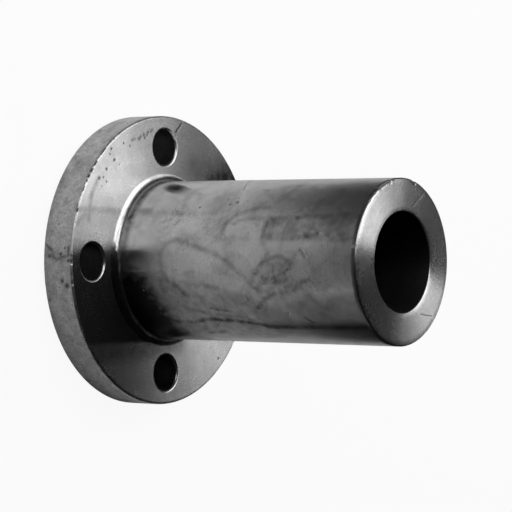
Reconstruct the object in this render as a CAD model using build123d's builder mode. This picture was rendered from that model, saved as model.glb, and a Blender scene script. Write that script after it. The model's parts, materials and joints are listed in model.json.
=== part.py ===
from build123d import *
import os

# Long weld neck flange: a drilled pipe flange and its long, thick-walled neck, forged and turned
# as one piece. It stands on its gasket face. The origin is the centre of that face, and +Z runs
# up the bore towards the plain end of the neck. Sizes are in millimetres. The sizes across grow
# outwards from the bore, wall by wall, so a wider bore carries the neck, the bolt circle and the
# rim out with it.

# Across the flange, from the bore outwards
bore_diameter = 50.8
neck_wall = 16.65
neck_to_bolt_hole = 8.75
bolt_hole_diameter = 19.05
bolt_hole_to_rim = 7.15
gasket_face_to_bolt_hole = 4.75
bolt_hole_count = 4

# Along the bore, from the gasket face up
gasket_face_height = 1.6
flange_thickness = 19.05
neck_length = 150.85

# Corners and broken edges
neck_root_radius = 4.0
rim_chamfer = 1.0
neck_end_chamfer = 0.8
bore_chamfer = 0.5
bolt_hole_chamfer = 1.0

# Worked out from the sizes above
bore_radius = bore_diameter / 2
neck_radius = bore_radius + neck_wall
bolt_hole_radius = bolt_hole_diameter / 2
bolt_circle_radius = neck_radius + neck_to_bolt_hole + bolt_hole_radius
rim_radius = bolt_circle_radius + bolt_hole_radius + bolt_hole_to_rim
gasket_face_radius = bolt_circle_radius - bolt_hole_radius - gasket_face_to_bolt_hole
flange_back = gasket_face_height
flange_front = flange_back + flange_thickness
neck_end = flange_front + neck_length

# The turned blank is half of its section, revolved round the bore's axis
with BuildPart() as flange_body:
    with BuildSketch(Plane.XZ):
        with BuildLine():
            back_and_rim = Polyline(
                (bore_radius + bore_chamfer, 0),
                (gasket_face_radius, 0),
                (gasket_face_radius, flange_back),
                (rim_radius - rim_chamfer, flange_back),
                (rim_radius, flange_back + rim_chamfer),
                (rim_radius, flange_front - rim_chamfer),
                (rim_radius - rim_chamfer, flange_front),
                (neck_radius + neck_root_radius, flange_front),
            )
            neck_root = JernArc(
                start=back_and_rim @ 1,
                tangent=(-1, 0),
                radius=neck_root_radius,
                arc_size=-90,
            )
            Polyline(
                neck_root @ 1,
                (neck_radius, neck_end - neck_end_chamfer),
                (neck_radius - neck_end_chamfer, neck_end),
                (bore_radius + bore_chamfer, neck_end),
                (bore_radius, neck_end - bore_chamfer),
                (bore_radius, bore_chamfer),
                back_and_rim @ 0,
            )
        make_face()
    revolve(axis=Axis.Z)

    # The bolt holes go right through the flange, with their edges broken on both faces
    with Locations(Plane.XY.offset(flange_front)):
        with PolarLocations(bolt_circle_radius, bolt_hole_count):
            Hole(bolt_hole_radius)
    hole_edges = flange_body.edges(Select.LAST).filter_by(GeomType.CIRCLE)
    chamfer(hole_edges, bolt_hole_chamfer)

flange_body.part.label = "flange_body"
os.makedirs("parts", exist_ok=True)
export_step(flange_body.part, "parts/flange_body.step")
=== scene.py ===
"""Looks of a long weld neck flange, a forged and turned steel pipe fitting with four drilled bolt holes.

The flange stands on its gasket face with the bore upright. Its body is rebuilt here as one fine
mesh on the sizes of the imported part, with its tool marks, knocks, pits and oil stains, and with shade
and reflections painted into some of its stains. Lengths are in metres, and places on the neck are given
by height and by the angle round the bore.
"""

import json
import math
import random
from functools import partial
from typing import NamedTuple

import bmesh
import bpy
import numpy as np
from bpy.props import FloatProperty, FloatVectorProperty, IntProperty, PointerProperty
from bpy.types import Operator, Panel, PropertyGroup
from mathutils import Matrix, Vector


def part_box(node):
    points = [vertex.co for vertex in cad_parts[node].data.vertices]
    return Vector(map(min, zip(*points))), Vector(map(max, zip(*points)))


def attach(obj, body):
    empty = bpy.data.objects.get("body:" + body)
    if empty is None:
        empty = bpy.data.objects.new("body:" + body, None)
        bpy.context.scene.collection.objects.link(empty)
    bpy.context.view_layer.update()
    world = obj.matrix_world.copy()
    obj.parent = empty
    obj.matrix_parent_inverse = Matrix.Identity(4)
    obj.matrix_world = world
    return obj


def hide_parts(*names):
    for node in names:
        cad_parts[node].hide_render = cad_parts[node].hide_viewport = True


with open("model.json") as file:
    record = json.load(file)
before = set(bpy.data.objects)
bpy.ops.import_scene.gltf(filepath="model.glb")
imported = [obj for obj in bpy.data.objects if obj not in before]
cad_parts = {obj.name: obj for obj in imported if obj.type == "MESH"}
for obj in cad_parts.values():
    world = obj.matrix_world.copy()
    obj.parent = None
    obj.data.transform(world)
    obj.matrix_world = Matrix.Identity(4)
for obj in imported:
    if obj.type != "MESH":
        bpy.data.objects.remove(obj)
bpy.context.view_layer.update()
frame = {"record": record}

bl_info = {
    "name": "Long weld neck flange",
    "version": (1, 0, 0),
    "blender": (4, 5, 0),
    "location": "View3D > Sidebar > Flange",
    "description": "Builds a turned steel weld neck flange and the studio it is shown in",
    "category": "Object",
}

MM = 0.001
NODE = "flange_body"
MOUNTS = {mount["name"]: mount for mount in frame["record"]["mounts"]}
CAD_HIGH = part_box(NODE)[1]
LENGTH = {"unit": "LENGTH", "precision": 5}
COLOUR = {"subtype": "COLOR", "min": 0, "max": 1}


def wall_radius(name):
    """The radius of a round mount, in metres."""
    return MOUNTS[name]["dims"]["r_mm"] * MM


def wall_span(name):
    """The lowest and highest height of a round mount's wall, in metres."""
    middle = MOUNTS[name]["pos_m"][2]
    half = MOUNTS[name]["dims"]["length_mm"] * MM / 2
    return middle - half, middle + half


def linear(hex_colour):
    """An sRGB hex colour as linear red, green and blue."""
    channels = [int(hex_colour[i:i + 2], 16) / 255 for i in (1, 3, 5)]
    return [c / 12.92 if c <= 0.04045 else ((c + 0.055) / 1.055) ** 2.4 for c in channels]


class FlangeSizes(PropertyGroup):
    """The turned section and the drilling, in metres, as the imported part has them."""

    bore_radius: FloatProperty(
        name="Bore radius", description="Radius of the bore",
        default=wall_radius("bore"), **LENGTH)
    neck_radius: FloatProperty(
        name="Neck radius", description="Outer radius of the neck",
        default=wall_radius("neck_outside"), **LENGTH)
    bolt_circle_radius: FloatProperty(
        name="Bolt circle radius", description="Distance of the bolt holes from the bore's axis",
        default=MOUNTS["bolt_holes"]["dims"]["pcd_mm"] / 2 * MM, **LENGTH)
    bolt_hole_radius: FloatProperty(
        name="Bolt hole radius", description="Radius of each bolt hole",
        default=MOUNTS["bolt_holes"]["dims"]["hole_r_mm"] * MM, **LENGTH)
    bolt_hole_count: IntProperty(
        name="Bolt holes", description="Number of bolt holes, evenly spaced",
        default=MOUNTS["bolt_holes"]["dims"]["count"], min=1)
    rim_radius: FloatProperty(
        name="Rim radius", description="Outer radius of the flange",
        default=CAD_HIGH.x, **LENGTH)
    gasket_face_margin: FloatProperty(
        name="Gasket face margin", description="From the edge of the raised gasket face to the bolt holes",
        default=4.75 * MM, **LENGTH)
    flange_front: FloatProperty(
        name="Flange front", description="Height of the face that the nuts bear on",
        default=MOUNTS["nut_face"]["pos_m"][2], **LENGTH)
    flange_back: FloatProperty(
        name="Flange back", description="Height of the drilled back face above the gasket face",
        default=2 * MOUNTS["bolt_holes"]["pos_m"][2] - MOUNTS["nut_face"]["pos_m"][2], **LENGTH)
    neck_end: FloatProperty(
        name="Neck end", description="Height of the neck's plain end",
        default=MOUNTS["neck_end"]["pos_m"][2], **LENGTH)
    root_top: FloatProperty(
        name="Root top", description="Height at which the root radius runs into the neck",
        default=wall_span("neck_outside")[0], **LENGTH)
    neck_wall_top: FloatProperty(
        name="Neck wall top", description="Height at which the neck's end chamfer starts",
        default=wall_span("neck_outside")[1], **LENGTH)
    bore_bottom: FloatProperty(
        name="Bore bottom", description="Height at which the bore's straight wall starts",
        default=wall_span("bore")[0], **LENGTH)
    rim_chamfer: FloatProperty(
        name="Rim chamfer", description="Width of the broken edges of the rim",
        default=1.0 * MM, **LENGTH)
    bolt_hole_chamfer: FloatProperty(
        name="Bolt hole chamfer", description="Width of the broken edges of the bolt holes",
        default=1.0 * MM, **LENGTH)
    groove_pitch: FloatProperty(
        name="Groove pitch", description="Spacing of the grooves turned into the gasket face",
        default=1.0 * MM, **LENGTH)
    groove_depth: FloatProperty(
        name="Groove depth", description="Depth of the grooves turned into the gasket face",
        default=0.05 * MM, **LENGTH)


class SteelColours(PropertyGroup):
    """The colours of bare steel and of what lies on it."""

    face: FloatVectorProperty(
        name="Faced steel", description="Carbon steel, faced on a lathe",
        default=linear("#BBBBBB"), **COLOUR)
    neck: FloatVectorProperty(
        name="Neck steel", description="Carbon steel, turned along the neck and wiped with oil",
        default=linear("#D4D4D4"), **COLOUR)
    rim: FloatVectorProperty(
        name="Rim steel", description="Coarser, handled steel on the rim",
        default=linear("#C6C6C6"), **COLOUR)
    edge: FloatVectorProperty(
        name="Edge steel", description="Bright steel on the broken edges",
        default=linear("#C4C4C4"), **COLOUR)
    # Its darkness is partly oil and partly shade painted into the holes
    hole: FloatVectorProperty(
        name="Hole steel", description="Oily, drilled steel inside the bolt holes",
        default=linear("#525252"), **COLOUR)
    # Its darkness is partly oil and scale and partly shade painted into the bore
    bore: FloatVectorProperty(
        name="Bore steel", description="Oily, bored steel inside the neck",
        default=linear("#3C3C3C"), **COLOUR)
    # Also the colour of the shade and reflections painted into the neck and the flange's front
    oil: FloatVectorProperty(
        name="Oil", description="Steel under the dried edge of old oil",
        default=linear("#4D4D4D"), **COLOUR)
    dirt: FloatVectorProperty(
        name="Dirt", description="Dark scale and dirt in pits and scratches",
        default=linear("#1D1D1D"), **COLOUR)


class WearSettings(PropertyGroup):
    """How knocked, pitted and stained the steel is."""

    seed: IntProperty(
        name="Seed", description="Picks where the scattered marks fall", default=7)
    rim_pits: IntProperty(
        name="Rim pits", description="Pits scattered round the rim", default=56, min=0)
    neck_pits: IntProperty(
        name="Neck pits", description="Pits scattered over the neck", default=40, min=0)
    face_pits: IntProperty(
        name="Face pits", description="Pits scattered over the flange's front and back", default=26, min=0)
    edge_chips: IntProperty(
        name="Edge chips", description="Knocks scattered along each outer edge", default=12, min=0)
    depth: FloatProperty(
        name="Depth", description="Depth of all the knocks and pits, where 1 is as found", default=1.0, min=0)


class StudioSettings(PropertyGroup):
    """The camera, the paper, what else the steel mirrors, and the lamps."""

    azimuth: FloatProperty(
        name="Azimuth", description="Where the camera stands round the flange, from the -Y side",
        subtype="ANGLE", default=math.radians(-1.03))
    elevation: FloatProperty(
        name="Elevation", description="How far the camera looks down",
        subtype="ANGLE", default=math.radians(36.39))
    roll: FloatProperty(
        name="Roll", description="Turn of the camera that lays the upright neck along the picture",
        subtype="ANGLE", default=math.radians(90.40))
    distance: FloatProperty(
        name="Distance", description="From the aim point to the camera",
        unit="LENGTH", default=1.2471)
    aim_height: FloatProperty(
        name="Aim height", description="Height of the point that the camera looks at",
        unit="LENGTH", default=0.0807)
    aim_side: FloatProperty(
        name="Aim side", description="How far the aim point lies off the bore's axis, along X",
        unit="LENGTH", default=-0.00255)
    focal_length: FloatProperty(
        name="Focal length", description="Of the lens, in millimetres, on a 36 mm sensor",
        default=168.7)
    floor: FloatVectorProperty(
        name="Floor", description="White paper under the flange",
        default=linear("#F4F4F4"), **COLOUR)
    room: FloatVectorProperty(
        name="Room", description="Dark walls and ceiling that the steel mirrors",
        default=linear("#060606"), **COLOUR)
    table: FloatVectorProperty(
        name="Table", description="Dark table round the paper, which only the steel shows",
        default=linear("#181818"), **COLOUR)
    left_table: FloatVectorProperty(
        name="Left table", description="Lighter table on the left, which only the steel shows",
        default=linear("#343434"), **COLOUR)
    board: FloatVectorProperty(
        name="Board", description="Grey board beside the paper, which only the steel shows",
        default=linear("#595959"), **COLOUR)
    paper_left: FloatProperty(
        name="Paper left", description="From the bore's axis to the paper's left edge",
        unit="LENGTH", default=0.19)
    paper_right: FloatProperty(
        name="Paper right", description="From the bore's axis to the paper's right edge",
        unit="LENGTH", default=0.18)
    paper_front: FloatProperty(
        name="Paper front", description="From the bore's axis to the paper's front edge",
        unit="LENGTH", default=0.25)
    board_back: FloatProperty(
        name="Board back", description="From the bore's axis forward to the board's back edge",
        unit="LENGTH", default=0.03)
    softbox_level: FloatProperty(
        name="Softbox level", description="Brightness of the overhead softbox, where 1 is white",
        default=1.14, min=0)
    core_level: FloatProperty(
        name="Softbox core level", description="What the middle of the softbox adds to it",
        default=1.58, min=0)
    end_level: FloatProperty(
        name="Softbox end level", description="What the near end of the softbox adds to it",
        default=2.5, min=0)
    front_level: FloatProperty(
        name="Front fill level", description="Brightness of the low fill in front, where 1 is white",
        default=0.12, min=0)
    softbox_size: FloatVectorProperty(
        name="Softbox size", description="Width and length of the softbox",
        size=2, subtype="XYZ", unit="LENGTH", default=(1.4, 3.4))
    softbox_turn: FloatProperty(
        name="Softbox turn", description="Turn of the softbox about the upright",
        subtype="ANGLE", default=math.radians(-9.7))
    softbox_place: FloatVectorProperty(
        name="Softbox place", description="Middle of the softbox",
        subtype="TRANSLATION", unit="LENGTH", default=(-0.908, 0.068, 1.17))


SEGMENTS = 288
HOLE_SEGMENTS = 72
# How many steps each stretch of the section has
GASKET_EDGE_STEPS = 2
RIM_STEPS = 8
ROOT_STEPS = 12
NECK_STEPS = 60
END_STEPS = 6
BORE_STEPS = 10
HOLE_STEPS = 4
# A flat strip beside each edge keeps its highlight crisp
FLAT_MARGIN = 0.5 * MM
# Points closer than this are one
MERGE_GAP = MM / 1000
# The mesh near a mark is split until its edges are no longer than this share of the mark's reach
REFINE_PASSES = 9
EDGE_SHARE = 0.55
SHORTEST_EDGE = 0.3 * MM
# A point this close to a wall's radius lies on the wall
WALL_SLACK = 0.01 * MM
SHARP_ANGLE = math.radians(30)
LINE_STEPS = 6

FINISHES = (
    "turned_face", "turned_neck", "turned_rim", "knocked_edge", "broken_edge", "drilled_hole", "bored_wall",
    "grooved_face",
)


def straight(start, end, steps=1):
    """Points of a straight stretch of the section, both ends included."""
    return [tuple(np.array(start) + (np.array(end) - np.array(start)) * i / steps) for i in range(steps + 1)]


def broken_edge(start, end, outward, bulge=0.12, steps=4):
    """A chamfer that bulges a little, as a hand-broken edge does. outward is the way that it bulges."""
    start, end = np.array(start), np.array(end)
    rise = bulge * np.linalg.norm(end - start) * np.array(outward) / math.sqrt(2)
    return [tuple(start + (end - start) * t + rise * 4 * t * (1 - t)) for t in np.linspace(0, 1, steps + 1)]


def grooves(sizes, start, end):
    """The gasket face from one radius to another, with its turned grooves cut upwards into it."""
    count = round((end - start) / sizes.groove_pitch)
    points = [(start, 0.0)]
    for i in range(count):
        left = start + (end - start) * i / count
        right = start + (end - start) * (i + 1) / count
        points += [((left + right) / 2, sizes.groove_depth), (right, 0.0)]
    return points


def section(sizes):
    """The turned section from the bore's foot, out along the back and up to the bore's mouth.

    Each stretch is a finish and its (radius, height) points. The two drilled faces are left out.
    """
    bore, neck, rim = sizes.bore_radius, sizes.neck_radius, sizes.rim_radius
    front, back, end = sizes.flange_front, sizes.flange_back, sizes.neck_end
    gasket = sizes.bolt_circle_radius - sizes.bolt_hole_radius - sizes.gasket_face_margin
    bore_edge = sizes.bore_bottom
    end_edge = end - sizes.neck_wall_top
    chamfer = sizes.rim_chamfer
    root = sizes.root_top - front
    turns = np.linspace(0, math.pi / 2, ROOT_STEPS + 1)
    root_arc = [(neck + root - root * math.sin(t), front + root - root * math.cos(t)) for t in turns]
    return [
        ("broken_edge", broken_edge((bore, bore_edge), (bore + bore_edge, 0.0), (-1, -1))),
        ("grooved_face", grooves(sizes, bore + bore_edge, gasket)),
        ("turned_rim", straight((gasket, 0.0), (gasket, back), GASKET_EDGE_STEPS)),
        ("turned_face", straight((gasket, back), (gasket + FLAT_MARGIN, back))),
        None,
        ("turned_face", straight((rim - chamfer - FLAT_MARGIN, back), (rim - chamfer, back))),
        ("knocked_edge", broken_edge((rim - chamfer, back), (rim, back + chamfer), (1, -1))),
        ("turned_rim", straight((rim, back + chamfer), (rim, front - chamfer), RIM_STEPS)),
        ("knocked_edge", broken_edge((rim, front - chamfer), (rim - chamfer, front), (1, 1))),
        ("turned_face", straight((rim - chamfer, front), (rim - chamfer - FLAT_MARGIN, front))),
        None,
        ("turned_face", straight((neck + root + FLAT_MARGIN, front), (neck + root, front))),
        ("turned_neck", root_arc),
        ("turned_neck", straight((neck, sizes.root_top), (neck, sizes.neck_wall_top), NECK_STEPS)),
        ("broken_edge", broken_edge((neck, sizes.neck_wall_top), (neck - end_edge, end), (1, 1))),
        ("turned_face", straight((neck - end_edge, end), (bore + bore_edge, end), END_STEPS)),
        ("broken_edge", broken_edge((bore + bore_edge, end), (bore, end - bore_edge), (-1, 1))),
        ("bored_wall", straight((bore, end - bore_edge), (bore, bore_edge), BORE_STEPS)),
    ]


def ring(bm, radius, height, count=SEGMENTS, centre=(0.0, 0.0)):
    """One closed ring of vertices."""
    turns = [2 * math.pi * i / count for i in range(count)]
    return [
        bm.verts.new((centre[0] + radius * math.cos(t), centre[1] + radius * math.sin(t), height))
        for t in turns
    ]


def band(bm, lower, upper, finish):
    """The faces between two rings of as many vertices."""
    for i in range(len(lower)):
        j = (i + 1) % len(lower)
        face = bm.faces.new((lower[i], lower[j], upper[j], upper[i]))
        face.material_index = FINISHES.index(finish)


def sweep(bm, finish, points, centre=(0.0, 0.0), count=SEGMENTS):
    """Turns a stretch of the section round an axis, and returns its first and last ring."""
    rings = [ring(bm, radius, height, count, centre) for radius, height in points]
    for lower, upper in zip(rings, rings[1:]):
        band(bm, lower, upper, finish)
    return rings[0], rings[-1]


def ring_edges(bm, vertices):
    """The edges round a ring of vertices."""
    return [
        bm.edges.get((a, b)) or bm.edges.new((a, b))
        for a, b in zip(vertices, vertices[1:] + vertices[:1])
    ]


def drilled_face(bm, sizes, inner, outer, height, into):
    """Fills a flat face between two rings, round the bolt holes. into is the way the holes are drilled."""
    chamfer = sizes.bolt_hole_chamfer
    loops = ring_edges(bm, inner) + ring_edges(bm, outer)
    foot = (sizes.flange_front + sizes.flange_back) / 2
    for k in range(sizes.bolt_hole_count):
        turn = 2 * math.pi * k / sizes.bolt_hole_count
        centre = (sizes.bolt_circle_radius * math.cos(turn), sizes.bolt_circle_radius * math.sin(turn))
        radius = sizes.bolt_hole_radius
        mouth, _ = sweep(bm, "turned_face", straight(
            (radius + chamfer + FLAT_MARGIN, height), (radius + chamfer, height)), centre, HOLE_SEGMENTS)
        edge = broken_edge((radius + chamfer, height), (radius, height + into * chamfer), (-1, -into))
        sweep(bm, "broken_edge", edge, centre, HOLE_SEGMENTS)
        wall = straight((radius, height + into * chamfer), (radius, foot), HOLE_STEPS)
        sweep(bm, "drilled_hole", wall, centre, HOLE_SEGMENTS)
        loops += ring_edges(bm, mouth)
    filled = bmesh.ops.triangle_fill(bm, use_beauty=True, use_dissolve=False, edges=loops)
    for item in filled["geom"]:
        if isinstance(item, bmesh.types.BMFace):
            item.material_index = FINISHES.index("turned_face")


def blank(bm, sizes):
    """The turned and drilled flange, before anything has knocked it."""
    inner = None
    stretches = section(sizes)
    for k, stretch in enumerate(stretches):
        if stretch is not None:
            first, last = sweep(bm, *stretch)
            if k and stretches[k - 1] is None:
                height = stretch[1][0][1]
                into = 1 if height < sizes.flange_front else -1
                drilled_face(bm, sizes, inner, first, height, into)
            inner = last
    bmesh.ops.remove_doubles(bm, verts=bm.verts[:], dist=MERGE_GAP)
    bmesh.ops.recalc_face_normals(bm, faces=bm.faces[:])


class Mark(NamedTuple):
    """A knock, pit, scratch, stain or patch of painted shade: its line and how far it reaches to each side,
    in metres.

    depth is in metres. The last two fields say how dirty its middle is and how much oil and painted shade lie
    on it, where 1 hides the steel.
    """

    path: np.ndarray
    reach: float
    depth: float = 0.0
    dirt: float = 0.0
    film: float = 0.0


def on_wall(radius, *places):
    """Points on an upright wall, from heights in millimetres and degrees from the front towards +X."""
    heights, angles = np.array(places, dtype=float).T
    turns = np.radians(angles)
    return np.stack((radius * np.sin(turns), -radius * np.cos(turns), heights * MM), axis=1)


def on_level(height, *places):
    """Points on a level face, from X and Y in millimetres."""
    across = np.array(places, dtype=float) * MM
    return np.column_stack((across, np.full(len(across), height)))


def smooth_line(points):
    """A smooth line through points, with LINE_STEPS steps between each two."""
    points = np.asarray(points)
    ends = np.vstack((2 * points[0] - points[1], points, 2 * points[-1] - points[-2]))
    line = [points[0]]
    for p, q, r, s in zip(ends, ends[1:], ends[2:], ends[3:]):
        for t in np.linspace(0, 1, LINE_STEPS + 1)[1:]:
            line.append((2 * q + (r - p) * t + (2 * p - 5 * q + 4 * r - s) * t ** 2
                         + (3 * q - p - 3 * r + s) * t ** 3) / 2)
    return np.array(line)


# A place on the neck or the rim is (height in millimetres, degrees from the front towards +X), and one on
# the flange's front or the neck's end is (X, Y) in millimetres. Reaches are in millimetres too.
# Pits: their surface, depth in millimetres and dirt, then the place and reach of each
PITS = (
    ("neck", 0.22, 0.9, (
        (68.5, -41.3, 0.8), (91, -46, 1.1), (87, -44, 0.8), (84, -49, 0.5), (89.5, -50.5, 0.5),
        (125.5, 37, 0.8), (148, -20.5, 0.8), (58, 23, 0.7), (131, 4.5, 0.9),
    )),
    ("front", 0.15, 0.8, (
        (-48, -48.6, 1.2), (-52.9, -42.1, 1.3), (-43.2, -54.4, 1.3), (-43.7, -51.1, 0.9), (-41.4, -48.6, 0.9),
        (-58.6, -44.6, 1.1), (-55.7, -45.8, 0.8), (-52.6, -56.2, 0.8), (-39, -52.5, 0.6), (-50.5, -38, 0.6),
        (-61.7, -34.5, 0.9), (-60.4, -29.3, 0.8), (54.9, 46.3, 1.2), (-69.2, 10.3, 1.3),
    )),
    ("rim", 0.2, 0.9, (
        (16, -5.4, 0.9), (5.9, -2.3, 1.3), (13.5, -3.1, 1.2), (10, -14.7, 0.7), (16.9, 8.9, 2.3),
        (14, 7.1, 1.7), (18.6, -0.6, 1.3), (3.9, 14.7, 1),
    )),
)
# Scratches and nicks: their surface and depth in millimetres, then the points, reach and dirt of each
SCRATCHES = (
    ("neck", 0.1, (
        (((82.5, -83), (85, -72), (88.5, -60)), 0.45, 0.5),
        (((138.6, -8.4), (140, -6.2), (141.6, -3.6)), 1.1, 0.55),
        (((112, 27), (115, 29.5)), 0.4, 0.6),
        (((75, 52), (79, 47)), 0.4, 0.5),
    )),
    ("front", 0.08, (
        (((-73.1, 14.4), (-70.8, 12), (-68.5, 9.5)), 1, 0.5),
        (((-66.5, 9.5), (-64, 8)), 0.6, 0.4),
        (((-63.4, -27.4), (-64.2, -25)), 1.3, 0.35),
        (((-64.4, -21.8), (-65.4, -20)), 1.5, 0.4),
        (((-66.6, -17.6), (-65.2, -16.6)), 1.6, 0.45),
        (((-66.4, -14.8), (-68.2, -13.8)), 1.3, 0.35),
        (((-68.4, -11.8), (-69.4, -10)), 1.3, 0.3),
        (((36, 56), (41, 59.5)), 0.45, 0.4),
    )),
    ("end", 0.06, (
        (((26.4, 16.6), (27.2, 21.5), (27.7, 26.9)), 0.45, 0.6),
        (((-34.5, 19.7), (-31, 14.5), (-27.4, 8.5)), 0.4, 0.3),
    )),
    ("end", 0.2, (
        (((-36.3, -19.2), (-36.9, -18.1)), 1, 0),
        (((-39.1, -11.4), (-39.4, -10.4)), 1, 0),
        (((-39.2, 10.5), (-38.9, 11.5)), 0.9, 0),
    )),
    ("rim", 0.15, (
        (((3.6, -6.6), (5.4, -5.5), (7.4, -4.5)), 1.2, 0.6),
        (((7.4, -2.6), (10.3, -1.2), (12.8, -1.3)), 1.5, 0.4),
        (((14, -1.9), (17, -2.4)), 1.2, 0.4),
        (((18.6, -5.6), (18.6, -2.6)), 1.4, 0.6),
    )),
)
# Oil stains, and shade and reflections painted in as stains: their surface, then the points, reach and film
# of each
STAINS_AND_PAINTED_SHADE = (
    ("neck", (
        (((101.5, -60.5), (104.5, -59.5)), 1.9, 0.45),
        (((119.5, -66.5), (121.5, -65.5)), 1.6, 0.35),
        (((134.5, 40.6), (136.5, 43), (138.5, 44.7)), 1.3, 0.55),
        (((47, -28), (53, -31)), 1.8, 0.25),
        # Painted shade: a dark band round the foot of the neck, just above the root
        (((25.8, -78), (25.8, -60), (25.8, -42), (25.8, -24), (25.8, -9)), 4.4, 0.75),
        # Painted reflection: a dark streak on the flange's front, mirrored low on the neck
        (((21, -38.6), (29, -38.4), (37, -38)), 3.4, 0.55),
        (((37, -37.8), (48, -37), (60, -36.6)), 3, 0.14),
        # Painted reflection of a bolt hole, low on the neck
        (((36, -67.5), (40, -66), (44, -64)), 3.6, 0.6),
        (((113, -20.5), (124, -20.5), (138, -20), (164, -20)), 5, 0.08),
        # Painted reflection: the edge of a shadow on the floor, mirrored as a dark line along the neck
        (((50, 48), (66, 47.4)), 2.4, 0.3),
        (((66, 47), (71, 44.8), (80, 44.6), (90, 45.6), (100, 47.2), (108, 49.6)), 2.3, 0.5),
        (((108, 50.6), (122, 50.6), (138, 50), (154, 49.4), (168, 49)), 3.2, 0.7),
        (((78, 34), (84, 35.5), (90, 36.5)), 1.6, 0.4),
        (((66, 61), (73, 60.5), (78, 57)), 2.6, 0.35),
        (((66.5, 56), (69.5, 48)), 2, 0.3),
        (((108, 33), (114, 26), (121, 21.5)), 2, 0.4),
        (((122, 13), (129, 11.5)), 3, 0.35),
        (((133, 19), (137, 14), (143, 11)), 2.2, 0.4),
        (((76, 15), (80, 17), (86, 18)), 2.2, 0.25),
        (((66, 8), (72, 6)), 2, 0.25),
    )),
    ("front", (
        (((-43, -55.5), (-37.4, -59.2), (-32.7, -61.5), (-27.9, -62.2), (-22.3, -63.4)), 2.6, 0.5),
        (((-37.5, -60.5), (-32.5, -63.5), (-26, -65.5)), 0.9, 0.22),
        # Painted reflection: a dark gap between lamps, mirrored as a streak across the front
        (((-26, -38), (-26.5, -47), (-26.8, -58), (-27.2, -71)), 2.8, 0.4),
        (((-20, -72), (-24.5, -66), (-25.5, -56)), 2.4, 0.3),
        # Painted shade that softens the edge of the neck's mirrored image on the front
        (((49, -54), (48, -32), (46.5, -10), (45.5, 12)), 8, 0.6),
        (((-56, -46), (-48, -54), (-42, -50)), 5, 0.15),
        # Painted shade from the neck, on the front beside it
        (((-50, 24), (-49.5, 38), (-51, 54)), 10, 0.35),
        (((-41, 44), (-44, 56), (-46, 66)), 15, 1.1),
    )),
    ("rim", (
        (((9, -42), (10.5, -37)), 5, 0.3),
        (((3.6, -36), (4.5, -31)), 4.5, 0.3),
        (((6, -3.5), (16, -2.5)), 5, 0.35),
    )),
)
# Tide marks that drying oil has left on the neck: the points and film of each
TIDE_MARKS = (
    (((65.5, 24.4), (60.5, 17.6), (56, 14.9), (52, 6.8), (50.5, -4.1), (54.5, -13), (62, -15),
      (74.5, -10.2), (88.5, -4.1), (98.5, 4.1), (105.5, 13.5), (111, 19)), 0.24),
    (((88.5, -20), (89, -26.5), (92.5, -32.5), (99.5, -37.9), (107, -40.2), (113.5, -40.6)), 0.27),
    (((94.5, -27.5), (97.5, -30), (106.5, -31.8), (113, -31.1)), 0.32),
    (((113, -31.1), (114.2, -27), (114, -21), (114.6, -15), (117, -9.5), (118.6, -6)), 0.24),
    (((118.6, -6), (116.5, -1), (112.5, 4.1), (109.5, 9), (108.5, 13.5)), 0.29),
    (((84.5, -15), (94, -17), (106.5, -16.2)), 0.16),
    (((82.5, -12.2), (86, -18), (90, -21)), 0.14),
    (((112.5, 6), (114, 1.5), (117.5, -1.8), (124.5, -4.1), (129.5, -2.8), (132.5, 0.5), (130.5, 4.6),
      (125.5, 8.6), (119.5, 11.5), (114.5, 13.6), (111.5, 16.5)), 0.34),
    (((119, 1), (122, 3.2), (120.5, 6)), 0.29),
    (((124, 0.5), (127.5, 2), (126, 5)), 0.26),
    (((105.5, 13.5), (109.5, 17.5), (114.5, 19), (119.5, 23)), 0.19),
    (((125, 20), (130.5, 20.3), (135, 17.5), (138.5, 14.9)), 0.24),
    (((128.5, 16.2), (136.5, 16.2), (143.5, 25.7), (149.5, 32.5)), 0.21),
    (((60, 33), (72, 38), (86, 40), (101, 44)), 0.18),
)
TIDE_REACH = 2.3
# Pools on the neck where the oil left dirtier or cleaner steel, and broad patches of painted shade and
# reflection: the outline of each, the film that it adds and, in millimetres, how far in from the outline that
# takes
OIL_POOLS_AND_SHADE = (
    (((65.5, 24.4), (56, 14.9), (50.5, -4.1), (54.5, -13), (62, -15), (74.5, -10.2), (88.5, -4.1),
      (98.5, 4.1), (105.5, 13.5), (98, 22), (80, 26)), -0.18, 3),
    (((88.5, -20), (92.5, -32.5), (99.5, -37.9), (113.5, -40.6), (114, -21), (117, -9.5),
      (112.5, 4.1), (104, 2), (96, -8)), -0.12, 3),
    (((22, -34), (46, -34), (78, -36), (82, -24), (62, -17), (40, -9), (22, -9)), -0.18, 3),
    # Painted shade low on the neck's +X side, next to the root
    (((16, 0), (34, 2), (45, 15), (51, 34), (54, 54), (50, 78), (16, 80)), 1.9, 24),
    (((112.5, 6), (117.5, -1.8), (124.5, -4.1), (132.5, 0.5), (125.5, 8.6), (114.5, 13.6)), 0.1, 3),
    (((106, 16), (118, 14), (134, 6), (146, 18), (138, 34), (118, 34)), 0.2, 3),
    # Painted shade over the neck's +X side, the side away from the softbox
    (((20, 8), (60, 10), (100, 20), (128, 40), (110, 68), (60, 72), (20, 66)), 0.3, 3),
    # Painted reflection of the dark table, high on the neck's -X side
    (((108, -70), (116, -36), (126, -36), (150, -36), (170, -34), (170, -66)), 0.12, 3),
    (((113.6, -35), (114, -15), (140, -14), (170, -14), (170, -36), (140, -36)), 0.42, 2.2),
    (((56, -12), (74, -9), (84, -1), (82, 8), (62, 8), (54, 0)), -0.12, 3),
    (((129, -31), (138, -33.5), (149, -31), (150, -27.5), (138, -26), (130, -27)), -0.34, 3),
)
# The film on the neck outside the pools
NECK_FILM = 0.2
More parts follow.
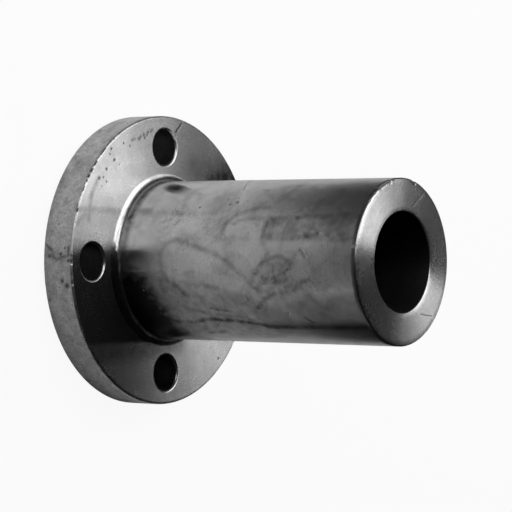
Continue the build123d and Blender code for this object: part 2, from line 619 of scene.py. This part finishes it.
# Knocks: their edge, their depth as a share of their reach and their dirt, then the place of each in
# degrees from the front, and its length and reach in millimetres
KNOCKS = (
    ("rim front", 0.3, 1.0, (
        (-20.3, 0.8, 1), (-29.5, 2.5, 0.6), (-33.2, 0.6, 0.8), (-35.4, 0.8, 1.3), (-38.2, 0.9, 1.4),
        (-41.8, 2.4, 0.9), (-46.9, 0.5, 0.7), (-49, 3.4, 0.6), (-56.5, 1.2, 0.5), (-0.4, 1.2, 1.2),
        (7.9, 0.8, 1),
    )),
    ("neck end", 0.4, 0.8, (
        (-61.5, 1.6, 1.2), (-66.5, 3, 1.5), (-72.5, 2.4, 1.4), (-79, 1, 1), (-104.8, 1.2, 1.2),
    )),
)
# Scattered pits: least and most reach in millimetres, depth in millimetres, least and most dirt
RIM_SCATTER = ((0.4, 0.9), 0.12, (0.3, 0.9))
NECK_SCATTER = ((0.35, 0.7), 0.08, (0.2, 0.6))
FLANGE_SCATTER = ((0.35, 0.65), 0.08, (0.2, 0.6))
# Scattered pits keep this far from the ends of the rim and the neck, and between these radii of the flange
RIM_CLEAR = 2 * MM
NECK_CLEAR = 3 * MM
FLANGE_SCATTER_RADII = (62 * MM, 74 * MM)
# Scattered chips on the edges: least and most length, reach and dirt, and depth as a share of the reach
CHIP_LENGTH = (0.6, 2.5)
CHIP_REACH = (0.4, 0.75)
CHIP_DIRT = (0.1, 0.5)
CHIP_STEEPNESS = 0.35


def along_edge(radius, height, angle, length):
    """A short line along a round edge, with its place and length in degrees and millimetres."""
    half = math.degrees(length * MM / radius / 2)
    return on_wall(radius, *[(height / MM, angle + half * step) for step in (-1, 0, 1)])


def outer_edges(sizes):
    """The radius and height of each outer edge's middle, by name."""
    rim = sizes.rim_radius - sizes.rim_chamfer / 2
    return {
        "rim front": (rim, sizes.flange_front - sizes.rim_chamfer / 2),
        "rim back": (rim, sizes.flange_back + sizes.rim_chamfer / 2),
        "neck end": (sizes.neck_radius, (sizes.neck_wall_top + sizes.neck_end) / 2),
    }


def stroke(points, reach, **effect):
    """Marks in a row that follow a smooth line. Each covers the steps between two of its points."""
    line = smooth_line(points)
    return [
        Mark(line[i:i + LINE_STEPS + 1], reach * MM, **effect)
        for i in range(0, len(line) - 1, LINE_STEPS)
    ]


def named_marks(sizes):
    """The marks that have a place of their own."""
    surfaces = {
        "neck": partial(on_wall, sizes.neck_radius),
        "rim": partial(on_wall, sizes.rim_radius),
        "front": partial(on_level, sizes.flange_front),
        "end": partial(on_level, sizes.neck_end),
    }
    marks = []
    for surface, depth, dirt, pits in PITS:
        for *place, reach in pits:
            marks.append(Mark(surfaces[surface](place), reach * MM, depth * MM, dirt))
    for surface, depth, scratches in SCRATCHES:
        for line, reach, dirt in scratches:
            marks += stroke(surfaces[surface](*line), reach, depth=depth * MM, dirt=dirt)
    for surface, stains in STAINS_AND_PAINTED_SHADE:
        for line, reach, film in stains:
            marks += stroke(surfaces[surface](*line), reach, film=film)
    for line, film in TIDE_MARKS:
        marks += stroke(surfaces["neck"](*line), TIDE_REACH, film=film)
    edges = outer_edges(sizes)
    for edge, steepness, dirt, knocks in KNOCKS:
        for angle, length, reach in knocks:
            line = along_edge(*edges[edge], angle, length)
            marks.append(Mark(line, reach * MM, steepness * reach * MM, dirt))
    return marks


def scattered_marks(sizes, wear):
    """The small pits and chips that a flange gets anywhere, drawn at random from the seed."""
    draw = random.Random(wear.seed)
    front, back = sizes.flange_front, sizes.flange_back

    def pit(place, reach, depth, dirt):
        return Mark(place, draw.uniform(*reach) * MM, depth * MM, draw.uniform(*dirt))

    marks = []
    for _ in range(wear.rim_pits):
        height = draw.uniform(back + RIM_CLEAR, front - RIM_CLEAR) / MM
        place = on_wall(sizes.rim_radius, (height, draw.uniform(0, 360)))
        marks.append(pit(place, *RIM_SCATTER))
    for _ in range(wear.neck_pits):
        height = draw.uniform(sizes.root_top, sizes.neck_end - NECK_CLEAR) / MM
        place = on_wall(sizes.neck_radius, (height, draw.uniform(0, 360)))
        marks.append(pit(place, *NECK_SCATTER))
    for _ in range(wear.face_pits):
        radius = draw.uniform(*FLANGE_SCATTER_RADII) / MM
        turn = math.radians(draw.uniform(0, 360))
        height = draw.choice((front, front, back))
        place = on_level(height, (radius * math.sin(turn), radius * math.cos(turn)))
        marks.append(pit(place, *FLANGE_SCATTER))
    for radius, height in outer_edges(sizes).values():
        for _ in range(wear.edge_chips):
            line = along_edge(radius, height, draw.uniform(0, 360), draw.uniform(*CHIP_LENGTH))
            reach = draw.uniform(*CHIP_REACH) * MM
            marks.append(Mark(line, reach, CHIP_STEEPNESS * reach, draw.uniform(*CHIP_DIRT)))
    return marks


def steps_along(path, spacing):
    """Points along a path, no further apart than a spacing."""
    points = [path[0]]
    for start, end in zip(path, path[1:]):
        count = max(1, math.ceil(np.linalg.norm(end - start) / spacing))
        points += [start + (end - start) * i / count for i in range(1, count + 1)]
    return points


def extent(mark):
    """The middle of a mark, and how far it goes from there."""
    middle = mark.path.mean(axis=0)
    return middle, np.linalg.norm(mark.path - middle, axis=1).max() + mark.reach


def reached_edges(edges, marks):
    """Which of the edges lie near a mark and are too long to carry it."""
    start = np.array([edge.verts[0].co for edge in edges])
    along = np.array([edge.verts[1].co for edge in edges]) - start
    length = np.linalg.norm(along, axis=1)
    middle = start + along / 2
    too_long = np.zeros(len(edges), dtype=bool)
    for mark in marks:
        centre, spread = extent(mark)
        allowed = max(mark.reach * EDGE_SHARE, SHORTEST_EDGE)
        close = np.linalg.norm(middle - centre, axis=1) < length / 2 + spread
        near = np.nonzero(close & (length > allowed) & ~too_long)[0]
        for point in steps_along(mark.path, mark.reach / 2):
            share = ((point - start[near]) * along[near]).sum(axis=1) / length[near] ** 2
            closest = start[near] + along[near] * np.clip(share, 0, 1)[:, None]
            too_long[near[np.linalg.norm(closest - point, axis=1) < mark.reach]] = True
    return [edges[i] for i in np.nonzero(too_long)[0]]


def in_order(elements):
    """Mesh elements without repeats, in the mesh's own order."""
    return sorted(set(elements), key=lambda element: element.index)


def refine(bm, sizes, marks):
    """Splits the edges near the marks until they are short enough to carry them."""
    edges = list(bm.edges)
    for _ in range(REFINE_PASSES):
        chosen = reached_edges(edges, marks)
        if not chosen:
            break
        bm.faces.index_update()
        quads = in_order(face for edge in chosen for face in edge.link_faces if len(face.verts) > 3)
        bmesh.ops.triangulate(bm, faces=quads)
        cut = bmesh.ops.subdivide_edges(bm, edges=chosen, cuts=1, use_single_edge=True)
        fresh = [item for item in cut["geom_inner"] if isinstance(item, bmesh.types.BMVert)]
        bm.faces.index_update()
        touched = in_order(face for vertex in fresh for face in vertex.link_faces)
        bmesh.ops.triangulate(bm, faces=[face for face in touched if len(face.verts) > 3])
        bm.edges.index_update()
        edges = in_order(edge for vertex in fresh for face in vertex.link_faces for edge in face.edges)
    for vertex in bm.verts:
        radius = math.hypot(vertex.co.x, vertex.co.y)
        for wall in (sizes.neck_radius, sizes.rim_radius):
            if abs(radius - wall) < WALL_SLACK:
                vertex.co.x *= wall / radius
                vertex.co.y *= wall / radius


def gap_to_path(points, path):
    """How far each point lies from a path of straight steps."""
    gap = np.linalg.norm(points - path[0], axis=1)
    for start, end in zip(path, path[1:]):
        along = end - start
        share = np.clip((points - start) @ along / (along @ along), 0, 1)
        gap = np.minimum(gap, np.linalg.norm(points - start - share[:, None] * along, axis=1))
    return gap


def oil_and_painted_shade(sizes, places):
    """The oil on each point: a thin film on the neck, with more or less of it in the pools, and shade and
    reflections painted in through some of them.
    """
    film = np.zeros(len(places))
    radius = np.hypot(places[:, 0], places[:, 1])
    on_neck = (abs(radius - sizes.neck_radius) < WALL_SLACK) & (places[:, 2] > sizes.root_top - WALL_SLACK)
    film[on_neck] = NECK_FILM
    angles = np.degrees(np.arctan2(places[:, 0], -places[:, 1]))
    for outline, change, edge in OIL_POOLS_AND_SHADE:
        line = smooth_line(np.array(outline + outline[:1], dtype=float))
        scale = np.array((MM, math.radians(1) * sizes.neck_radius))
        flat = np.column_stack((places[:, 2] / MM, angles)) * scale
        line = line * scale
        inside = np.zeros(len(places), dtype=bool)
        for (x, y), (next_x, next_y) in zip(line, line[1:]):
            if y != next_y:
                crossed = (flat[:, 1] < y) != (flat[:, 1] < next_y)
                inside ^= crossed & (flat[:, 0] < x + (flat[:, 1] - y) * (next_x - x) / (next_y - y))
        inside &= on_neck
        depth = gap_to_path(flat[inside], line)
        film[inside] += change * np.clip(depth / (edge * MM), 0, 1)
    return film


def press_in(bm, sizes, marks, strength):
    """Presses the marks into the surface, and returns how dirty each vertex is and how much oil and painted
    shade it carries.
    """
    bm.normal_update()
    vertices = list(bm.verts)
    places = np.array([vertex.co for vertex in vertices])
    normals = np.array([vertex.normal for vertex in vertices])
    depth, dirt, lines = np.zeros((3, len(vertices)))
    for mark in marks:
        centre, spread = extent(mark)
        near = np.nonzero(np.linalg.norm(places - centre, axis=1) < spread)[0]
        weight = np.clip(1 - (gap_to_path(places[near], mark.path) / mark.reach) ** 2, 0, 1) ** 2
        depth[near] = np.maximum(depth[near], weight * mark.depth)
        dirt[near] = np.maximum(dirt[near], weight * mark.dirt)
        # The stains' film holds real oil and, for some of them, painted shade and painted reflections
        lines[near] = np.maximum(lines[near], weight * mark.film)
    places -= normals * (depth * strength)[:, None]
    for i in np.nonzero(depth)[0]:
        vertices[i].co = places[i]
    return dirt, oil_and_painted_shade(sizes, places) + lines


def add_node(tree, kind, inputs=None, **options):
    """Adds a shader node. inputs holds values or output sockets by input name or number."""
    node = tree.nodes.new(kind)
    for name, value in options.items():
        setattr(node, name, value)
    for key, value in (inputs or {}).items():
        if isinstance(value, bpy.types.NodeSocket):
            tree.links.new(value, node.inputs[key])
        else:
            node.inputs[key].default_value = value
    return node


def new_material(name):
    """An empty node material, its tree and its output node."""
    material = bpy.data.materials.new(name)
    material.use_nodes = True
    material.node_tree.nodes.clear()
    output = material.node_tree.nodes.new("ShaderNodeOutputMaterial")
    return material, material.node_tree, output


def shade(colour, factor):
    """A colour made lighter or darker, with the alpha that a node takes."""
    return (*[min(1.0, channel * factor) for channel in colour], 1.0)


# The turned lines have their real length at this radius
MIDDLE_RADIUS = 50 * MM
# Tide lines: their size, the level of the noise that they follow, and how far from it they reach
TIDE_SIZE = 16 * MM
TIDE_LEVEL = 0.5
TIDE_BAND = 0.02
# The mesh carries the film of oil and painted shade evenly, and patches of this size take up to this share of
# it away
UNEVEN_SIZE = 5 * MM
UNEVEN_SHARE = 0.55
# Light steel is glossier than dark steel by this share, and dirt adds to the roughness and hides the metal
TONE_GLOSS = 0.12
DIRT_ROUGHNESS = 0.3
DIRT_COVER = 0.7
# A quarter of a turn lays the sheen across the turned rings
ACROSS_THE_RINGS = 0.25


def turned_lines(tree, pitch, length):
    """Lines round the bore, from 0 to 1, with their pitch and how far one runs in metres."""
    place = add_node(tree, "ShaderNodeTexCoord").outputs["Object"]
    flat = add_node(tree, "ShaderNodeVectorMath", {0: place, 1: (1, 1, 0)}, operation="MULTIPLY")
    radius = add_node(tree, "ShaderNodeVectorMath", {0: flat.outputs[0]}, operation="LENGTH")
    turn = add_node(tree, "ShaderNodeVectorMath", {0: flat.outputs[0]}, operation="NORMALIZE")
    height = add_node(tree, "ShaderNodeSeparateXYZ", {0: place})
    across = add_node(tree, "ShaderNodeMath", {0: radius.outputs["Value"], 1: height.outputs["Z"]})
    turn = add_node(tree, "ShaderNodeVectorMath", {
        0: turn.outputs[0], "Scale": MIDDLE_RADIUS / length}, operation="SCALE")
    across = add_node(tree, "ShaderNodeMath", {0: across.outputs[0], 1: 1 / pitch}, operation="MULTIPLY")
    across = add_node(tree, "ShaderNodeCombineXYZ", {2: across.outputs[0]})
    place = add_node(tree, "ShaderNodeVectorMath", {0: turn.outputs[0], 1: across.outputs[0]})
    lines = add_node(tree, "ShaderNodeTexNoise", {
        "Vector": place.outputs[0], "Scale": 1.0, "Detail": 2.0, "Roughness": 0.6})
    return add_node(tree, "ShaderNodeMapRange", {0: lines.outputs[0], 1: 0.3, 2: 0.7}).outputs[0]


def patches(tree, size, low=0.3, high=0.7, detail=2.0, distortion=0.3):
    """Patches of a size in metres, from 0 to 1. They are harder the closer low and high are."""
    place = add_node(tree, "ShaderNodeTexCoord").outputs["Object"]
    noise = add_node(tree, "ShaderNodeTexNoise", {
        "Vector": place, "Scale": 1 / size, "Detail": detail, "Roughness": 0.55, "Distortion": distortion})
    return add_node(tree, "ShaderNodeMapRange", {0: noise.outputs[0], 1: low, 2: high}).outputs[0]


def tide_lines(tree, size):
    """The thin dark outlines that drying oil leaves round patches of a size in metres, from 0 to 1."""
    level = patches(tree, size, low=0.0, high=1.0, detail=3.0, distortion=1.2)
    off = add_node(tree, "ShaderNodeMath", {0: level, 1: TIDE_LEVEL}, operation="SUBTRACT")
    off = add_node(tree, "ShaderNodeMath", {0: off.outputs[0]}, operation="ABSOLUTE")
    line = add_node(tree, "ShaderNodeMapRange", {0: off.outputs[0], 1: 0.0, 2: TIDE_BAND, 3: 1.0, 4: 0.0})
    shown = patches(tree, size, low=0.45, high=0.6)
    return add_node(tree, "ShaderNodeMath", {0: line.outputs[0], 1: shown}, operation="MULTIPLY").outputs[0]


def weighted(tree, *parts):
    """The sum of several sockets, each times its weight."""
    total = 0.0
    for socket, weight in parts:
        total = add_node(tree, "ShaderNodeMath", {
            0: socket, 1: weight, 2: total}, operation="MULTIPLY_ADD").outputs[0]
    return total


class Finish(NamedTuple):
    """How a steel surface was made, with the real sizes of its texture in millimetres.

    contrast is how far its tone goes from the mean. weights are the shares of the turned lines, the broad
    patches and the grain in that tone, and bumps are those of the lines and the grain in the relief.
    """

    colour: str
    contrast: float
    roughness: float
    anisotropy: float
    line_pitch: float
    line_length: float
    patch: float
    grain: float
    relief: float
    weights: tuple = (0.3, 0.4, 0.3)
    bumps: tuple = (0.7, 0.3)
    stain: float = 5
    stain_depth: float = 0.2
    tide_depth: float = 0.0
    metallic: float = 1.0


STEEL_FINISHES = {
    # Faced in a lathe: rings finer than a pixel, drawn at 0.7 mm so that they show, spread the light
    # into two opposite fans, and handling has dulled it in patches
    "turned_face": Finish(
        "face", contrast=0.28, roughness=0.28, anisotropy=1.0, line_pitch=0.7, line_length=22, patch=12,
        grain=0.9, relief=0.02, weights=(0.25, 0.3, 0.45), bumps=(0.3, 0.7), stain=7, stain_depth=0.12,
        metallic=0.965),
    # Turned fine, with its lines drawn at 0.8 mm so that they show, and wiped with oil: a soft mirror,
    # cloudy in broad patches
    "turned_neck": Finish(
        "neck", contrast=0.32, roughness=0.19, anisotropy=1.0, line_pitch=0.8, line_length=16, patch=24,
        grain=0.9, relief=0.005, weights=(0.15, 0.5, 0.35), stain=11, stain_depth=0.22, tide_depth=0.25),
    # Rough turned and handled by its rim: duller, mottled grey
    "turned_rim": Finish(
        "rim", contrast=0.36, roughness=0.4, anisotropy=0.6, line_pitch=1.2, line_length=9, patch=6,
        grain=1.0, relief=0.02, weights=(0.1, 0.4, 0.5), stain=4, stain_depth=0.3, metallic=0.98),
    # The rim's own edges, rolled on floors and knocked against others: dull, uneven and specked with dirt
    "knocked_edge": Finish(
        "rim", contrast=0.4, roughness=0.38, anisotropy=0.3, line_pitch=1.0, line_length=4, patch=3,
        grain=0.9, relief=0.04, stain=2, stain_depth=0.45),
    # Edges broken with a file: bright and a little uneven
    "broken_edge": Finish(
        "edge", contrast=0.15, roughness=0.3, anisotropy=0.5, line_pitch=0.5, line_length=3, patch=4,
        grain=0.8, relief=0.01),
    # Drilled: dark with oil and with shade painted into the holes, dull, with the drill's coarse feed marks
    "drilled_hole": Finish(
        "hole", contrast=0.3, roughness=0.5, anisotropy=0.3, line_pitch=1.4, line_length=8, patch=4,
        grain=1.0, relief=0.03),
    # Bored: dull and nearly black with oil and scale and with shade painted into the bore, in coarse rings
    "bored_wall": Finish(
        "bore", contrast=0.3, roughness=0.5, anisotropy=0.3, line_pitch=1.4, line_length=14, patch=8,
        grain=1.2, relief=0.02),
    # Gasket face, grooved so that a gasket grips: rings of light, from grooves that are in the mesh
    "grooved_face": Finish(
        "face", contrast=0.2, roughness=0.36, anisotropy=0.8, line_pitch=0.8, line_length=20, patch=8,
        grain=1.1, relief=0.005),
}


def steel(name, finish, colours):
    """Bare carbon steel with one finish, with the dirt, the oil and the painted shade and reflections that
    the mesh carries.
    """
    material, tree, output = new_material(name)
    lines = turned_lines(tree, finish.line_pitch * MM, finish.line_length * MM)
    broad = patches(tree, finish.patch * MM)
    grain = patches(tree, finish.grain * MM)
    line_weight, patch_weight, grain_weight = finish.weights
    tone = weighted(tree, (lines, line_weight), (broad, patch_weight), (grain, grain_weight))
    colour = getattr(colours, finish.colour)
    steel_colour = add_node(tree, "ShaderNodeMix", {
        0: tone, 6: shade(colour, 1 - finish.contrast), 7: shade(colour, 1 + finish.contrast),
    }, data_type="RGBA")
    # This attribute darkens the steel towards the oil colour: real oil, and shade and reflections painted in
    film = add_node(tree, "ShaderNodeAttribute", attribute_name="film").outputs["Fac"]
    uneven = patches(tree, UNEVEN_SIZE, low=0.2, high=0.65)
    uneven = add_node(tree, "ShaderNodeMath", {
        0: uneven, 1: UNEVEN_SHARE, 2: 1 - UNEVEN_SHARE}, operation="MULTIPLY_ADD")
    film = add_node(tree, "ShaderNodeMath", {0: film, 1: uneven.outputs[0]}, operation="MULTIPLY").outputs[0]
    stains = patches(tree, finish.stain * MM, low=0.45, high=0.7, detail=3.0, distortion=1.0)
    film = weighted(tree, (film, 1.0), (stains, finish.stain_depth))
    if finish.tide_depth:
        film = weighted(tree, (film, 1.0), (tide_lines(tree, TIDE_SIZE), finish.tide_depth))
    oiled_and_shaded = add_node(tree, "ShaderNodeMix", {
        0: film, 6: steel_colour.outputs[2], 7: shade(colours.oil, 1)}, data_type="RGBA")
    dirt = add_node(tree, "ShaderNodeAttribute", attribute_name="dirt").outputs["Fac"]
    dirty = add_node(tree, "ShaderNodeMix", {
        0: dirt, 6: oiled_and_shaded.outputs[2], 7: shade(colours.dirt, 1)}, data_type="RGBA")
    roughness = weighted(tree, (tone, -TONE_GLOSS * finish.roughness), (dirt, DIRT_ROUGHNESS))
    roughness = add_node(tree, "ShaderNodeMath", {0: roughness, 1: (1 + TONE_GLOSS / 2) * finish.roughness})
    bare = add_node(tree, "ShaderNodeMath", {
        0: dirt, 1: -DIRT_COVER, 2: finish.metallic}, operation="MULTIPLY_ADD")
    line_relief, grain_relief = finish.bumps
    height = weighted(tree, (lines, line_relief), (grain, grain_relief))
    bump = add_node(tree, "ShaderNodeBump", {"Height": height, "Distance": finish.relief * MM})
    tangent = add_node(tree, "ShaderNodeTangent", direction_type="RADIAL", axis="Z")
    surface = add_node(tree, "ShaderNodeBsdfPrincipled", {
        "Base Color": dirty.outputs[2], "Metallic": bare.outputs[0], "Roughness": roughness.outputs[0],
        "Anisotropic": finish.anisotropy, "Anisotropic Rotation": ACROSS_THE_RINGS,
        "Normal": bump.outputs[0], "Tangent": tangent.outputs[0],
    })
    tree.links.new(surface.outputs[0], output.inputs["Surface"])
    return material


class FLANGE_OT_body(Operator):
    """Builds the flange: turned blank, drilled holes, knocks, pits, stains and painted shade, and its steel
    """

    bl_idname = "flange.body"
    bl_label = "Build flange"

    def execute(self, context):
        sizes = context.scene.flange_sizes
        wear = context.scene.flange_wear
        bm = bmesh.new()
        blank(bm, sizes)
        marks = named_marks(sizes) + scattered_marks(sizes, wear)
        refine(bm, sizes, marks)
        dirt, film = press_in(bm, sizes, marks, wear.depth)
        mesh = bpy.data.meshes.new("weld_neck_flange")
        bm.to_mesh(mesh)
        bm.free()
        for name, values in (("dirt", dirt), ("film", film)):
            mesh.attributes.new(name, "FLOAT", "POINT").data.foreach_set("value", values)
        mesh.polygons.foreach_set("use_smooth", [True] * len(mesh.polygons))
        mesh.set_sharp_from_angle(angle=SHARP_ANGLE)
        piece = bpy.data.objects.new("weld_neck_flange", mesh)
        context.collection.objects.link(piece)
        for name in FINISHES:
            mesh.materials.append(steel(name, STEEL_FINISHES[name], context.scene.flange_colours))
        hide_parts(NODE)
        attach(piece, "root")
        return {"FINISHED"}


# How much of the paper's brightness is plain white, to the camera and in the steel. The rest is its light
CAMERA_SHARE = 0.93
MIRRORED_SHARE = 0.008
# The steel mirrors no plain white from the paper that the flange stands on. It comes in between these radii
PAPER_DARK = 70 * MM
PAPER_CLEAR = 80 * MM
FLOOR_RADIUS = 6.0
FLOOR_SEGMENTS = 64
FLOOR_DROP = 0.2 * MM
ROOM_RADIUS = 5.0
ROOM_SUBDIVISIONS = 4
# How far the tables round the paper reach, and how far they lie above it
TABLE_REACH = 2.5
TABLE_LIFT = 0.5 * MM
# Two lamps hang just below the softbox, at these offsets from its middle
CORE_SIZE = (0.9, 1.25)
CORE_OFFSET = (0.25, 0.475, -0.01)
END_SIZE = (1.0, 0.6)
END_OFFSET = (0.3, -1.4, -0.02)
FRONT_SIZE = (1.3, 0.75)
FRONT_PLACE = (-0.7, -2.4, 0.4)
FRONT_TURN = (math.radians(90), 0, 0)
SENSOR_WIDTH = 36.0


def white_paper(studio):
    """Matt white paper, which the camera sees white with a soft shadow and the steel mirrors as it is lit."""
    material, tree, output = new_material("white_paper")
    path = add_node(tree, "ShaderNodeLightPath")
    mirrored = add_node(tree, "ShaderNodeMath", {
        0: path.outputs["Is Glossy Ray"], 1: path.outputs["Is Transmission Ray"]}, operation="ADD")
    mirrored = add_node(tree, "ShaderNodeMath", {
        0: mirrored.outputs[0], 1: MIRRORED_SHARE}, operation="MULTIPLY")
    place = add_node(tree, "ShaderNodeNewGeometry")
    flat = add_node(tree, "ShaderNodeVectorMath", {
        0: place.outputs["Position"], 1: (1, 1, 0)}, operation="MULTIPLY")
    out = add_node(tree, "ShaderNodeVectorMath", {0: flat.outputs[0]}, operation="LENGTH")
    clear = add_node(tree, "ShaderNodeMapRange", {
        "Value": out.outputs["Value"], "From Min": PAPER_DARK, "From Max": PAPER_CLEAR})
    mirrored = add_node(tree, "ShaderNodeMath", {
        0: mirrored.outputs[0], 1: clear.outputs[0]}, operation="MULTIPLY")
    share = add_node(tree, "ShaderNodeMath", {
        0: path.outputs["Is Camera Ray"], 1: CAMERA_SHARE, 2: mirrored.outputs[0]}, operation="MULTIPLY_ADD")
    paper = add_node(tree, "ShaderNodeBsdfDiffuse", {"Color": (*studio.floor, 1)})
    white = add_node(tree, "ShaderNodeEmission", {"Color": (1, 1, 1, 1), "Strength": 1.0})
    mix = add_node(tree, "ShaderNodeMixShader", {
        0: share.outputs[0], 1: paper.outputs[0], 2: white.outputs[0]})
    tree.links.new(mix.outputs[0], output.inputs["Surface"])
    return material


def plain_glow(name, colour):
    """A surface of one even brightness, whatever lights it."""
    material, tree, output = new_material(name)
    glow = add_node(tree, "ShaderNodeEmission", {"Color": (*colour, 1), "Strength": 1.0})
    tree.links.new(glow.outputs[0], output.inputs["Surface"])
    return material


def stage_object(context, name, mesh, material):
    """Links a piece of the stage into the scene."""
    mesh.materials.append(material)
    thing = bpy.data.objects.new(name, mesh)
    context.collection.objects.link(thing)
    return thing


def table_board(context, name, low, high, colour):
    """A board beside the paper, between two corners, which only the steel shows."""
    mesh = bpy.data.meshes.new(name)
    corners = [(*low, 0), (high[0], low[1], 0), (*high, 0), (low[0], high[1], 0)]
    mesh.from_pydata(corners, [], [(0, 1, 2, 3)])
    board = stage_object(context, name, mesh, plain_glow(name, colour))
    board.location.z = TABLE_LIFT
    board.visible_camera = False
    board.visible_diffuse = False
    board.visible_shadow = False


def area_lamp(context, name, size, level, place, turn):
    """A lamp with an evenly bright face, where a level of 1 is white."""
    data = bpy.data.lights.new(name, "AREA")
    data.shape = "RECTANGLE"
    data.size, data.size_y = size
    data.energy = level * math.pi * data.size * data.size_y
    lamp = bpy.data.objects.new(name, data)
    lamp.location = place
    lamp.rotation_euler = turn
    context.collection.objects.link(lamp)


class FLANGE_OT_stage(Operator):
    """Builds the paper, the room, the boards that the steel mirrors, the lamps and the camera"""

    bl_idname = "flange.stage"
    bl_label = "Build stage"

    def execute(self, context):
        studio = context.scene.flange_studio
        floor_mesh = bpy.data.meshes.new("paper_floor")
        bm = bmesh.new()
        bmesh.ops.create_circle(bm, cap_ends=True, segments=FLOOR_SEGMENTS, radius=FLOOR_RADIUS)
        bm.to_mesh(floor_mesh)
        bm.free()
        floor = stage_object(context, "paper_floor", floor_mesh, white_paper(studio))
        floor.location.z = -FLOOR_DROP

        room_mesh = bpy.data.meshes.new("dark_room")
        bm = bmesh.new()
        bmesh.ops.create_icosphere(bm, subdivisions=ROOM_SUBDIVISIONS, radius=ROOM_RADIUS)
        bm.to_mesh(room_mesh)
        bm.free()
        room = stage_object(context, "dark_room", room_mesh, plain_glow("dark_wall", studio.room))
        room.visible_camera = False

        left, right = -studio.paper_left, studio.paper_right
        front, back = -studio.paper_front, -studio.board_back
        far = TABLE_REACH
        for name, low, high, colour in (
                ("left_table", (-far, front), (left, far), studio.left_table),
                ("right_table", (right, back), (far, far), studio.table),
                ("front_table", (-far, -far), (far, front), studio.table),
                ("grey_board", (right, front), (far, back), studio.board)):
            table_board(context, name, low, high, colour)

        turn = (0, 0, studio.softbox_turn)
        swing = Matrix.Rotation(studio.softbox_turn, 3, "Z")
        for name, size, level, offset in (
                ("softbox", studio.softbox_size, studio.softbox_level, (0, 0, 0)),
                ("softbox_core", CORE_SIZE, studio.core_level, CORE_OFFSET),
                ("softbox_end", END_SIZE, studio.end_level, END_OFFSET)):
            place = Vector(studio.softbox_place) + swing @ Vector(offset)
            area_lamp(context, name, size, level, place, turn)
        area_lamp(context, "front_fill", FRONT_SIZE, studio.front_level, FRONT_PLACE, FRONT_TURN)

        world = bpy.data.worlds.new("white_surround")
        world.use_nodes = True
        background = world.node_tree.nodes["Background"]
        background.inputs["Color"].default_value = (1, 1, 1, 1)
        background.inputs["Strength"].default_value = 1.0
        context.scene.world = world

        camera_data = bpy.data.cameras.new("camera")
        camera_data.sensor_width = SENSOR_WIDTH
        camera_data.lens = studio.focal_length
        camera = bpy.data.objects.new("camera", camera_data)
        outward = Vector((
            math.sin(studio.azimuth) * math.cos(studio.elevation),
            -math.cos(studio.azimuth) * math.cos(studio.elevation),
            math.sin(studio.elevation),
        ))
        aim = Vector((studio.aim_side, 0, studio.aim_height))
        facing = (-outward).to_track_quat("-Z", "Y").to_matrix().to_4x4()
        roll = Matrix.Rotation(studio.roll, 4, "Z")
        camera.matrix_world = Matrix.Translation(aim + outward * studio.distance) @ facing @ roll
        context.collection.objects.link(camera)
        context.scene.camera = camera
        context.scene.view_settings.view_transform = "Standard"
        return {"FINISHED"}


class FLANGE_PT_panel(Panel):
    """Settings of the flange and its stage, and the buttons that build them"""

    bl_idname = "FLANGE_PT_panel"
    bl_label = "Weld neck flange"
    bl_space_type = "VIEW_3D"
    bl_region_type = "UI"
    bl_category = "Flange"

    def draw(self, context):
        layout = self.layout
        for operator in (FLANGE_OT_body, FLANGE_OT_stage):
            layout.operator(operator.bl_idname)
        scene = context.scene
        for settings in (scene.flange_sizes, scene.flange_colours, scene.flange_wear, scene.flange_studio):
            box = layout.box()
            for name in settings.__annotations__:
                box.prop(settings, name)


CLASSES = (
    FlangeSizes, SteelColours, WearSettings, StudioSettings,
    FLANGE_OT_body, FLANGE_OT_stage, FLANGE_PT_panel,
)


def register():
    for cls in CLASSES:
        bpy.utils.register_class(cls)
    bpy.types.Scene.flange_sizes = PointerProperty(type=FlangeSizes)
    bpy.types.Scene.flange_colours = PointerProperty(type=SteelColours)
    bpy.types.Scene.flange_wear = PointerProperty(type=WearSettings)
    bpy.types.Scene.flange_studio = PointerProperty(type=StudioSettings)


def unregister():
    del bpy.types.Scene.flange_sizes
    del bpy.types.Scene.flange_colours
    del bpy.types.Scene.flange_wear
    del bpy.types.Scene.flange_studio
    for cls in reversed(CLASSES):
        bpy.utils.unregister_class(cls)


def main():
    """Builds the flange and its stage."""
    register()
    bpy.ops.flange.body()
    bpy.ops.flange.stage()


if __name__ == "__main__":
    main()
